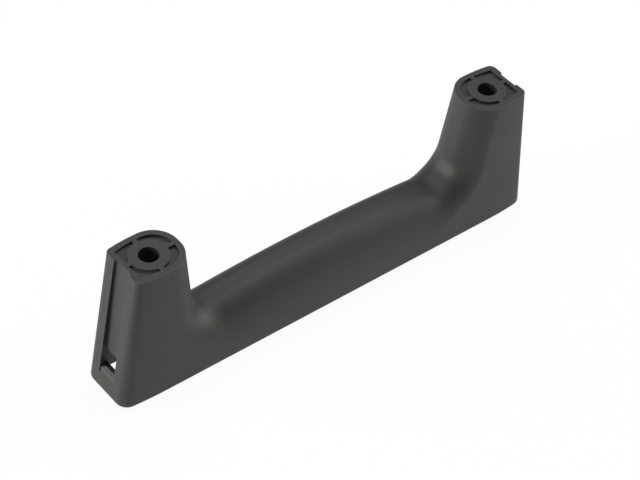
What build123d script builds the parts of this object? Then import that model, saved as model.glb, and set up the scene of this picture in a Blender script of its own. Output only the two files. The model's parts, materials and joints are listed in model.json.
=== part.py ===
"""Bridge pull handle, moulded in one piece from glass-fibre reinforced polyamide.

The handle lies on its flat front face, Z = 0, with the two legs standing up to their
mounting faces.  X runs along the grip, Y across it, and the origin is under its middle.
All sizes are millimetres.
"""

import os
from math import radians, tan

from build123d import *

# ---- overall form ---------------------------------------------------------------------
hole_spacing = 132.0        # between the two screw axes
leg_height = 50.0           # front face to mounting faces
base_length = 163.5         # over the two ends, at the front face
base_width = 21.0           # across the front face
mount_width = 18.4          # across a mounting face, at the screw axis
mount_reach_out = 9.6       # screw axis to the outer end of a mounting face
mount_reach_in = 10.6       # screw axis to the round inner end of a mounting face
end_narrowing = 0.9         # how far each side draws in from the screw axis to the end

# ---- grip -----------------------------------------------------------------------------
grip_thickness = 18.5       # front face to hand side, next to the legs
grip_crown = 3.0            # how much thicker the grip is at its middle
leg_inner_draft = 7.0       # degrees, inner side of a leg
leg_root_radius = 9.0       # inner corner between leg and grip
hand_radius = 8.4           # rounding of the hand side, all along the inner outline

# ---- edges ----------------------------------------------------------------------------
mount_corner_radius = 2.0   # outer corners of a mounting face
base_corner_radius = 4.2    # outer corners of the front face
front_edge_radius = 2.0     # edge all round the front face

# ---- screw passage --------------------------------------------------------------------
screw_hole_diameter = 6.5   # clearance for an M6 screw
head_bore_diameter = 11.5   # for the head of an M6 socket screw
head_seat_height = 20.0     # front face to the seat of the screw head
cap_bore_diameter = 14.5    # seat of the push-in cover cap
cap_bore_depth = 3.0

# ---- relief of the mounting face ------------------------------------------------------
rim_width = 1.8             # rim left along the sides and the round end
end_rim_width = 1.2         # rim left in front of the slot
collar_diameter = 12.4      # ring left round the screw hole
relief_depth = 1.0
relief_rib = 1.4            # ribs between collar and rim

# ---- slot in the end face -------------------------------------------------------------
slot_width = 7.2
slot_floor = 6.5            # front face to the floor of the slot
slot_setback = 0.8          # outer end of the mounting face to the back of the slot

half_spacing = hole_spacing / 2
base_reach = base_length / 2
mount_reach = half_spacing + mount_reach_out
inner_top = half_spacing - mount_reach_in
inner_foot = inner_top - (leg_height - grip_thickness) * tan(radians(leg_inner_draft))
slot_back = mount_reach - slot_setback
relief_inner = inner_top + rim_width
relief_outer = slot_back - end_rim_width
relief_side = mount_width / 2 - rim_width


def plan_outline(height, width, reach, corner_radius):
    """Outline of the whole handle seen from above, at one height."""
    side = width / 2
    end_side = side - end_narrowing
    with BuildSketch(Plane.XY.offset(height)) as outline:
        with BuildLine():
            Line((-half_spacing, side), (half_spacing, side))
            TangentArc((half_spacing, side), (reach, end_side), tangent=(1, 0))
            TangentArc((-half_spacing, side), (-reach, end_side), tangent=(-1, 0))
            mirror(about=Plane.XZ)
            Line((reach, -end_side), (reach, end_side))
            Line((-reach, -end_side), (-reach, end_side))
        make_face()
        corners = outline.vertices().filter_by(lambda corner: abs(corner.X) > half_spacing + 1)
        fillet(corners, radius=corner_radius)
    return outline.sketch


with BuildPart() as handle:
    # block with drafted sides and slanted, round-cornered ends
    add(plan_outline(0, base_width, base_reach, base_corner_radius))
    add(plan_outline(leg_height, mount_width, mount_reach, mount_corner_radius))
    loft(ruled=True)
    fillet(handle.edges().group_by(Axis.Z)[0], radius=front_edge_radius)

    # arch between the legs, open upwards, rounded all along for the hand
    with BuildSketch(Plane.XZ) as arch:
        with BuildLine():
            ThreePointArc(
                (-inner_foot, grip_thickness),
                (0, grip_thickness + grip_crown),
                (inner_foot, grip_thickness),
            )
            Polyline(
                (inner_foot, grip_thickness),
                (inner_top, leg_height),
                (-inner_top, leg_height),
                (-inner_foot, grip_thickness),
            )
        make_face()
        fillet(arch.vertices().group_by(Axis.Y)[0], radius=leg_root_radius)
    extrude(amount=base_width, both=True, mode=Mode.SUBTRACT)
    arch_edges = handle.edges().filter_by(
        lambda edge: abs(edge.center().X) < inner_top + 1
        and abs(edge.center().Y) > hand_radius
        and grip_thickness - 1 < edge.center().Z < leg_height - 1
    )
    fillet(arch_edges, radius=hand_radius)

    # shallow relief of the mounting faces: rim, collar and ribs stay full height
    with BuildSketch(Plane.XY.offset(leg_height)) as relief:
        with BuildLine():
            Polyline((relief_inner, 0), (relief_inner, relief_side), (half_spacing, relief_side))
            TangentArc(
                (half_spacing, relief_side),
                (relief_outer, relief_side - end_narrowing),
                tangent=(1, 0),
            )
            Line((relief_outer, relief_side - end_narrowing), (relief_outer, 0))
            mirror(about=Plane.XZ)
        make_face()
        fillet(relief.vertices().group_by(Axis.X)[0], radius=hand_radius - rim_width)
        with Locations((half_spacing, 0)):
            Circle(collar_diameter / 2, mode=Mode.SUBTRACT)
            Rectangle(4 * mount_reach_out, relief_rib, mode=Mode.SUBTRACT)
            Rectangle(relief_rib, mount_width, mode=Mode.SUBTRACT)
        mirror(about=Plane.YZ)
    extrude(amount=-relief_depth, mode=Mode.SUBTRACT)

    # slot in each end face, its back upright and its mouth following the slant
    slot_length = max(base_reach, mount_reach) - slot_back + 1
    slot_rise = leg_height - slot_floor + 1
    for end in (-1, 1):
        with Locations((end * (slot_back + slot_length / 2), 0, slot_floor + slot_rise / 2)):
            Box(slot_length, slot_width, slot_rise, mode=Mode.SUBTRACT)

    # screw passage from the front face: cap seat, head bore and clearance hole
    with Locations((-half_spacing, 0), (half_spacing, 0)):
        Cylinder(screw_hole_diameter / 2, leg_height, align=(Align.CENTER, Align.CENTER, Align.MIN),
                 mode=Mode.SUBTRACT)
        Cylinder(head_bore_diameter / 2, head_seat_height,
                 align=(Align.CENTER, Align.CENTER, Align.MIN), mode=Mode.SUBTRACT)
        Cylinder(cap_bore_diameter / 2, cap_bore_depth,
                 align=(Align.CENTER, Align.CENTER, Align.MIN), mode=Mode.SUBTRACT)

handle.part.label = "handle"
os.makedirs("parts", exist_ok=True)
export_step(handle.part, "parts/handle.step")
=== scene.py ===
"""Bridge pull handle of black glass-fibre reinforced polyamide, lying on its front face.

The handle is one moulding.  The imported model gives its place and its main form, in metres.
"""

import json
import math

import bmesh
import bpy
from mathutils import Matrix, Vector


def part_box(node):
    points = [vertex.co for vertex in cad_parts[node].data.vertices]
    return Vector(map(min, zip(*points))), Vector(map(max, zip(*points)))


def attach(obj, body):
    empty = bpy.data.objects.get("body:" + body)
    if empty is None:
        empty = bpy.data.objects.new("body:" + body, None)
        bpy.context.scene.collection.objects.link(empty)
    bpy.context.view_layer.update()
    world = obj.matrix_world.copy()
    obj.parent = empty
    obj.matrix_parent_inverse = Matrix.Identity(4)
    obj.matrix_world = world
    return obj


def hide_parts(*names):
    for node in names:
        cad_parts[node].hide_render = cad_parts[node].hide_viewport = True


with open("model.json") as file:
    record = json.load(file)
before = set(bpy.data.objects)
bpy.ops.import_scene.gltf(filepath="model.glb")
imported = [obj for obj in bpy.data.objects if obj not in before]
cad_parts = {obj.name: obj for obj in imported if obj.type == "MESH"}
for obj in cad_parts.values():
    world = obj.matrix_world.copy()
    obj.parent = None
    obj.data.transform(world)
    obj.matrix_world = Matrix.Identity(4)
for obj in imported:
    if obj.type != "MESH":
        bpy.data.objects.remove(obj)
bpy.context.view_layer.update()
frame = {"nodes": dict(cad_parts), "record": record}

# ---- the handle -----------------------------------------------------------------------
# One piece of black glass-fibre reinforced polyamide, shot into a steel mould.  Slides in
# the mould leave the slot in each end, with the latch window that opens into the pocket of
# the cover cap under each leg.
mm = 0.001                          # the sizes of the moulding are in millimetres
_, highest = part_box("handle")
leg_height = highest.z / mm
base_width = 21.0                   # at the front face, which lies on the table
mount_width = 18.4                  # at the mounting faces, which point up
base_reach = 81.75                  # slanted end face carried down to the table
screw_pattern = frame["record"]["mounts"][0]["dims"]
half_spacing = screw_pattern["spacing_x_mm"] / 2
screw_to_end = 9.6                  # screw axis to the outer end of a mounting face
mount_reach = half_spacing + screw_to_end
side_draft = (base_width - mount_width) / 2 / leg_height
end_slope = (base_reach - mount_reach) / leg_height

grip_thickness = 18.5               # next to the legs
grip_crown = 3.0                    # how much thicker the grip is at its middle
grip_reach = 51.5                   # middle of the handle to the foot of a leg
hand_radius = 8.4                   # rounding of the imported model's hand side
front_edge = 2.0                    # the side stays as packed up to this height
oval_start = 39.0                   # where the grip's section is oval, fading out to the legs
oval_foot = 3.0                     # table to the lowest point of the oval
oval_rise = 1.4                     # oval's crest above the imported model's, before rounding
oval_fullness = 2.5                 # 2 is an ellipse, more has fuller shoulders
same_point = 0.0005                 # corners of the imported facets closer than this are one
flat_angle = math.radians(0.2)      # facets that turn by less than this are one face


def half_width(height):
    """Half the width of the drafted sides at a height above the table."""
    return base_width / 2 - side_draft * height


moulding_mesh = frame["nodes"]["handle"].data.copy()
moulding_mesh.transform(Matrix.Scale(1 / mm, 4))
joined = bmesh.new()
joined.from_mesh(moulding_mesh)
bmesh.ops.remove_doubles(joined, verts=joined.verts, dist=same_point)
grip_side = max(
    vertex.co.y
    for vertex in joined.verts
    if abs(vertex.co.x) < oval_start and vertex.co.z > grip_thickness - hand_radius
)
# Each point of the grip moves up or down by what the oval has over the rounded section
# there, and then across, so that it stays on the drafted side.
for vertex in joined.verts:
    along = abs(vertex.co.x)
    if along > grip_reach or vertex.co.z < front_edge:
        continue
    fade = min(1.0, (grip_reach - along) / (grip_reach - oval_start))
    fade = fade * fade * (3 - 2 * fade)
    crest = grip_thickness + grip_crown * (1 - (along / grip_reach) ** 2)
    aside = min(1.0, abs(vertex.co.y) / grip_side)
    round_part = max(0.0, abs(vertex.co.y) - grip_side + hand_radius) / hand_radius
    rounded_height = crest - hand_radius + hand_radius * math.sqrt(max(0.0, 1 - round_part**2))
    oval = (1 - aside**oval_fullness) ** (1 / oval_fullness)
    oval_height = oval_foot + (crest + oval_rise - oval_foot) * oval
    share = (oval_height - front_edge) / (rounded_height - front_edge)
    old_side = half_width(vertex.co.z)
    vertex.co.z = front_edge + (vertex.co.z - front_edge) * (1 + fade * (share - 1))
    vertex.co.y *= half_width(vertex.co.z) / old_side
bmesh.ops.dissolve_limit(joined, angle_limit=flat_angle, verts=joined.verts, edges=joined.edges)
joined.to_mesh(moulding_mesh)
joined.free()
moulding = bpy.data.objects.new("handle_moulding", moulding_mesh)
bpy.context.scene.collection.objects.link(moulding)

slot_width = 7.2
old_slot_floor = 6.5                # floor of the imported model's slot
slot_floor = 8.4
floor_setback = 0.4                 # end face to the end of the raised floor
slot_back_foot = 79.0               # back of the slot at its floor, slanted like the end face
slot_head_depth = 0.8               # of the slot at the mounting face
slot_back_head = mount_reach - slot_head_depth
window_height = 7.0
window_top = slot_floor + window_height
pocket_width = 17.6
pocket_inner = half_spacing - 8.4   # grip side of the cap pocket
pocket_wall = 1.2                   # between the cap pocket and the back of the slot
pocket_outer = slot_back_foot - pocket_wall
pocket_draft = 0.4                  # how much further in the pocket's wall is at its top

hair = 0.01                         # keeps two faces from falling into one plane
fill_foot = old_slot_floor - 0.3    # the filling starts inside the old floor
fill_back = slot_back_head - 0.6    # and inside the old back
fill_top = leg_height - 1.05        # and ends just under the relief of the mounting face
cut_foot = -1.0                     # the pocket's cutter sticks out of the front face
window_inner = pocket_outer - 2     # the window's cutter reaches into the pocket
window_outer = slot_back_foot + 1   # and into the slot


def end_face(height):
    """How far out the slanted end face is at a height above the table."""
    return base_reach - end_slope * height


def prism(name, side, outline, width):
    """A solid of one X-Z outline at one end of the handle, width wide across Y."""
    shape = bmesh.new()
    near = [shape.verts.new((side * x, -width / 2, z)) for x, z in outline]
    far = [shape.verts.new((side * x, width / 2, z)) for x, z in outline]
    shape.faces.new(near)
    shape.faces.new(far[::-1])
    for i in range(len(outline)):
        j = (i + 1) % len(outline)
        shape.faces.new((near[j], near[i], far[i], far[j]))
    bmesh.ops.recalc_face_normals(shape, faces=shape.faces)
    mesh = bpy.data.meshes.new(name)
    shape.to_mesh(mesh)
    shape.free()
    made = bpy.data.objects.new(name, mesh)
    bpy.context.scene.collection.objects.link(made)
    return made


def take_in_modifiers(piece):
    """Makes what a piece's modifiers do its own mesh, and gives that mesh."""
    bpy.context.view_layer.update()
    evaluated = piece.evaluated_get(bpy.context.evaluated_depsgraph_get())
    mesh = bpy.data.meshes.new_from_object(evaluated)
    piece.modifiers.clear()
    piece.data = mesh
    return mesh


slot_filling = (
    (fill_back, fill_foot),
    (end_face(fill_foot) - floor_setback, fill_foot),
    (end_face(slot_floor) - floor_setback, slot_floor),
    (slot_back_foot, slot_floor),
    (slot_back_head + 2 * hair, fill_top),
    (fill_back, fill_top),
)
cap_pocket = (
    (pocket_inner, cut_foot),
    (pocket_outer, cut_foot),
    (pocket_outer - pocket_draft, window_top),
    (pocket_inner, window_top),
)
latch_window = (
    (window_inner, slot_floor + hair),
    (window_outer, slot_floor + hair),
    (window_outer, window_top),
    (window_inner, window_top),
)
helpers = []
for side in (-1, 1):
    for name, way, outline, width in (
        ("slot back", "UNION", slot_filling, slot_width + 4 * hair),
        ("cap pocket", "DIFFERENCE", cap_pocket, pocket_width),
        ("latch window", "DIFFERENCE", latch_window, slot_width - 2 * hair),
    ):
        helper = prism(name, side, outline, width)
        cut = moulding.modifiers.new(name, "BOOLEAN")
        cut.operation = way
        cut.solver = "EXACT"
        cut.object = helper
        helpers.append(helper)
finished = take_in_modifiers(moulding)
for helper in helpers:
    bpy.data.objects.remove(helper)

sharp_angle = math.radians(35)      # an edge that turns by more than this stays crisp
finished.transform(Matrix.Scale(mm, 4))
for polygon in finished.polygons:
    polygon.use_smooth = True
finished.set_sharp_from_angle(angle=sharp_angle)
even = moulding.modifiers.new("even shading of the flats", "WEIGHTED_NORMAL")
even.mode = "FACE_AREA"
even.weight = 90
even.keep_sharp = True
finished = take_in_modifiers(moulding)
finished.name = "handle_moulding"


class Socket:
    """The output of a shader node, used in plain arithmetic."""

    def __init__(self, tree, output=None):
        self.tree = tree
        self.output = output

    def node(self, kind, sockets=None, take=0, **settings):
        """A node of this kind with its settings, then its sockets set or linked."""
        made = self.tree.nodes.new(kind)
        for name, value in settings.items():
            setattr(made, name, value)
        for name, value in (sockets or {}).items():
            if isinstance(value, Socket):
                self.tree.links.new(value.output, made.inputs[name])
            else:
                made.inputs[name].default_value = value
        return Socket(self.tree, made.outputs[take] if made.outputs else None)

    def maths(self, operation, first, second):
        """A Math node on two numbers or sockets."""
        return self.node("ShaderNodeMath", {0: first, 1: second}, operation=operation)

    def __add__(self, other):
        return self.maths("ADD", self, other)

    __radd__ = __add__

    def __sub__(self, other):
        return self.maths("SUBTRACT", self, other)

    def __rsub__(self, other):
        return self.maths("SUBTRACT", other, self)

    def __mul__(self, other):
        return self.maths("MULTIPLY", self, other)

    __rmul__ = __mul__


polyamide_black = (0.027, 0.0272, 0.027, 1.0)
# Lighter colour painted along every edge: a painted edge highlight, together with rubbed wear.
polyamide_edge_highlight_and_rubbed = (0.062, 0.062, 0.061, 1.0)
grain_per_metre = 2600.0            # the fine grain that the glass fibres leave in the skin
flow_per_metre = 42.0               # the slow change of finish along the flow of the melt
grain_depth = 0.00004
grain_relief = 0.35                 # how much of that depth shows
edge_mark_reach = 0.0006                  # how far from an edge the lighter colour reaches: painted highlight and rubbed skin
edge_mark_gain = 4.0                     # turns the slant of a rounded edge into a share of painted highlight and wear
edge_mark_least = 0.35                  # the least painted highlight and wear along an edge
edge_mark_patchy = 0.65                  # what the flow adds to it in places
matt_plain = 0.46                   # roughness of the plain skin
matt_grain = 0.12                   # what the grain adds to it
matt_flow = 0.10                    # what the flow adds to it
matt_edge_mark = 0.10                  # what the edge mask takes off it, where the skin is rubbed
polyamide = bpy.data.materials.new("black polyamide")
polyamide.use_nodes = True
polyamide.node_tree.nodes.clear()
plastic = Socket(polyamide.node_tree)
place = plastic.node("ShaderNodeTexCoord", take="Object")
grain = plastic.node(
    "ShaderNodeTexNoise",
    {"Vector": place, "Scale": grain_per_metre, "Detail": 3.0, "Roughness": 0.65},
)
flow = plastic.node(
    "ShaderNodeTexNoise",
    {"Vector": place, "Scale": flow_per_metre, "Detail": 2.0, "Distortion": 0.6},
)
# The bevel's rounded normal against the true one finds the edges, which get the lighter colour:
# painted highlight and wear.
rounded = plastic.node("ShaderNodeBevel", {"Radius": edge_mark_reach}, samples=6)
facing = plastic.node("ShaderNodeNewGeometry", take="Normal")
agreement = plastic.node(
    "ShaderNodeVectorMath", {0: rounded, 1: facing}, take="Value", operation="DOT_PRODUCT"
)
edge_mask = plastic.maths("MAXIMUM", (1 - agreement) * edge_mark_gain, 0.0)
edge_highlight_and_wear = edge_mask * (edge_mark_least + edge_mark_patchy * flow)
# Painted highlight on the edges: the colour is lighter there, for the sheen of the rounded
# edges as well as for rubbing.
colour = plastic.node(
    "ShaderNodeMix",
    {"Factor": edge_highlight_and_wear, "A": polyamide_black, "B": polyamide_edge_highlight_and_rubbed},
    take="Result",
    data_type="RGBA",
    clamp_factor=True,
)
matt = matt_plain + matt_grain * grain + matt_flow * flow - matt_edge_mark * edge_highlight_and_wear
surface = plastic.node(
    "ShaderNodeBump",
    {"Strength": grain_relief, "Distance": grain_depth, "Height": grain},
)
shader = plastic.node(
    "ShaderNodeBsdfPrincipled",
    {"Base Color": colour, "Roughness": matt, "IOR": 1.5, "Normal": surface},
)
plastic.node("ShaderNodeOutputMaterial", {"Surface": shader})
finished.materials.clear()
finished.materials.append(polyamide)

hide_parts("handle")
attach(moulding, "root")

# ---- the table it lies on ---------------------------------------------------------------
# A wide sheet of white card.  It keeps a faint shadow, and shows plain white to the camera
# and in the reflections on the handle.
card_reach = 4.0                    # half its width and length, in metres
card_height = -0.0002               # just under the handle's front face
card_grey = (0.86, 0.86, 0.86, 1.0)
plain_white = (1.0, 1.0, 1.0, 1.0)
card_glow = 0.94                    # share of plain white in what the camera sees of it
card_mesh = bpy.data.meshes.new("white card")
card_mesh.from_pydata(
    [
        (x * card_reach, y * card_reach, card_height)
        for x, y in ((-1, -1), (1, -1), (1, 1), (-1, 1))
    ],
    [],
    [(0, 1, 2, 3)],
)
card = bpy.data.objects.new("white card", card_mesh)
bpy.context.scene.collection.objects.link(card)
card_finish = bpy.data.materials.new("white card")
card_finish.use_nodes = True
card_finish.node_tree.nodes.clear()
paper = Socket(card_finish.node_tree)
seen = paper.node("ShaderNodeLightPath", take="Is Camera Ray")
mirrored = paper.node("ShaderNodeLightPath", take="Is Glossy Ray")
through = paper.node("ShaderNodeLightPath", take="Is Transmission Ray")
diffuse = paper.node("ShaderNodeBsdfDiffuse", {"Color": card_grey})
glow = paper.node("ShaderNodeEmission", {"Color": plain_white, "Strength": 1.0})
plain = paper.node(
    "ShaderNodeMixShader", {0: card_glow * (seen + mirrored + through), 1: diffuse, 2: glow}
)
paper.node("ShaderNodeOutputMaterial", {"Surface": plain})
card_mesh.materials.append(card_finish)

# ---- studio -----------------------------------------------------------------------------
# A soft box off each end of the handle and one overhead.  None stands behind the camera, so
# that the faces turned to it stay dark and the others carry a soft sheen.
middle = Vector((0.0, 0.0, 0.02))
for name, place_at, width, height, power, tint in (
    ("left box", (-1.0, 0.40, 0.3), 0.8, 0.6, 13.0, (1.0, 0.97, 0.89)),
    ("right box", (1.0, -0.3, 0.3), 0.8, 0.6, 8.5, (1.0, 0.96, 0.86)),
    ("overhead box", (0.20, 0.10, 1.0), 1.3, 1.2, 10.5, (0.97, 1.0, 0.98)),
):
    lamp = bpy.data.lights.new(name, "AREA")
    lamp.shape = "RECTANGLE"
    lamp.size = width
    lamp.size_y = height
    lamp.energy = power
    lamp.color = tint
    holder = bpy.data.objects.new(name, lamp)
    holder.location = place_at
    holder.rotation_mode = "QUATERNION"
    holder.rotation_quaternion = (Vector(place_at) - middle).to_track_quat("Z", "Y")
    bpy.context.scene.collection.objects.link(holder)

room_light = 0.04                   # what the walls of the room give back, a little blue
room_tint = (0.9, 0.95, 1.0, 1.0)
studio = bpy.data.worlds.new("studio")
studio.use_nodes = True
studio.node_tree.nodes.clear()
air = Socket(studio.node_tree)
looked_at = air.node("ShaderNodeLightPath", take="Is Camera Ray")
room = air.node("ShaderNodeBackground", {"Color": room_tint, "Strength": room_light})
backdrop = air.node("ShaderNodeBackground", {"Color": plain_white, "Strength": 1.0})
sky = air.node("ShaderNodeMixShader", {0: looked_at, 1: room, 2: backdrop})
air.node("ShaderNodeOutputWorld", {"Surface": sky})
bpy.context.scene.world = studio

# ---- camera -----------------------------------------------------------------------------
# It looks down on the handle from the near left, through a long lens, and is rolled a
# little.  It aims just beside the middle of the handle.
azimuth = math.radians(-42.58)
elevation = math.radians(43.74)
roll = math.radians(5.48)
distance = 0.6344
aim_left = 0.00203
aim_up = 0.00039
backward = Vector((
    math.sin(azimuth) * math.cos(elevation),
    -math.cos(azimuth) * math.cos(elevation),
    math.sin(elevation),
))
level = Vector((math.cos(azimuth), math.sin(azimuth), 0.0))
upward = backward.cross(level)
aim = middle - aim_left * level + aim_up * upward
rolled_right = math.cos(roll) * level + math.sin(roll) * upward
rolled_up = math.cos(roll) * upward - math.sin(roll) * level
lens = bpy.data.cameras.new("camera")
lens.sensor_width = 36.0
lens.lens = 113.96
lens.shift_x = 0.0103
lens.shift_y = -0.0048
lens.clip_start = 0.01
lens.clip_end = 20.0
camera = bpy.data.objects.new("camera", lens)
camera.matrix_world = Matrix.Translation(aim + distance * backward) @ Matrix(
    (rolled_right, rolled_up, backward)
).transposed().to_4x4()
bpy.context.scene.collection.objects.link(camera)
bpy.context.scene.camera = camera
bpy.context.scene.view_settings.view_transform = "Standard"
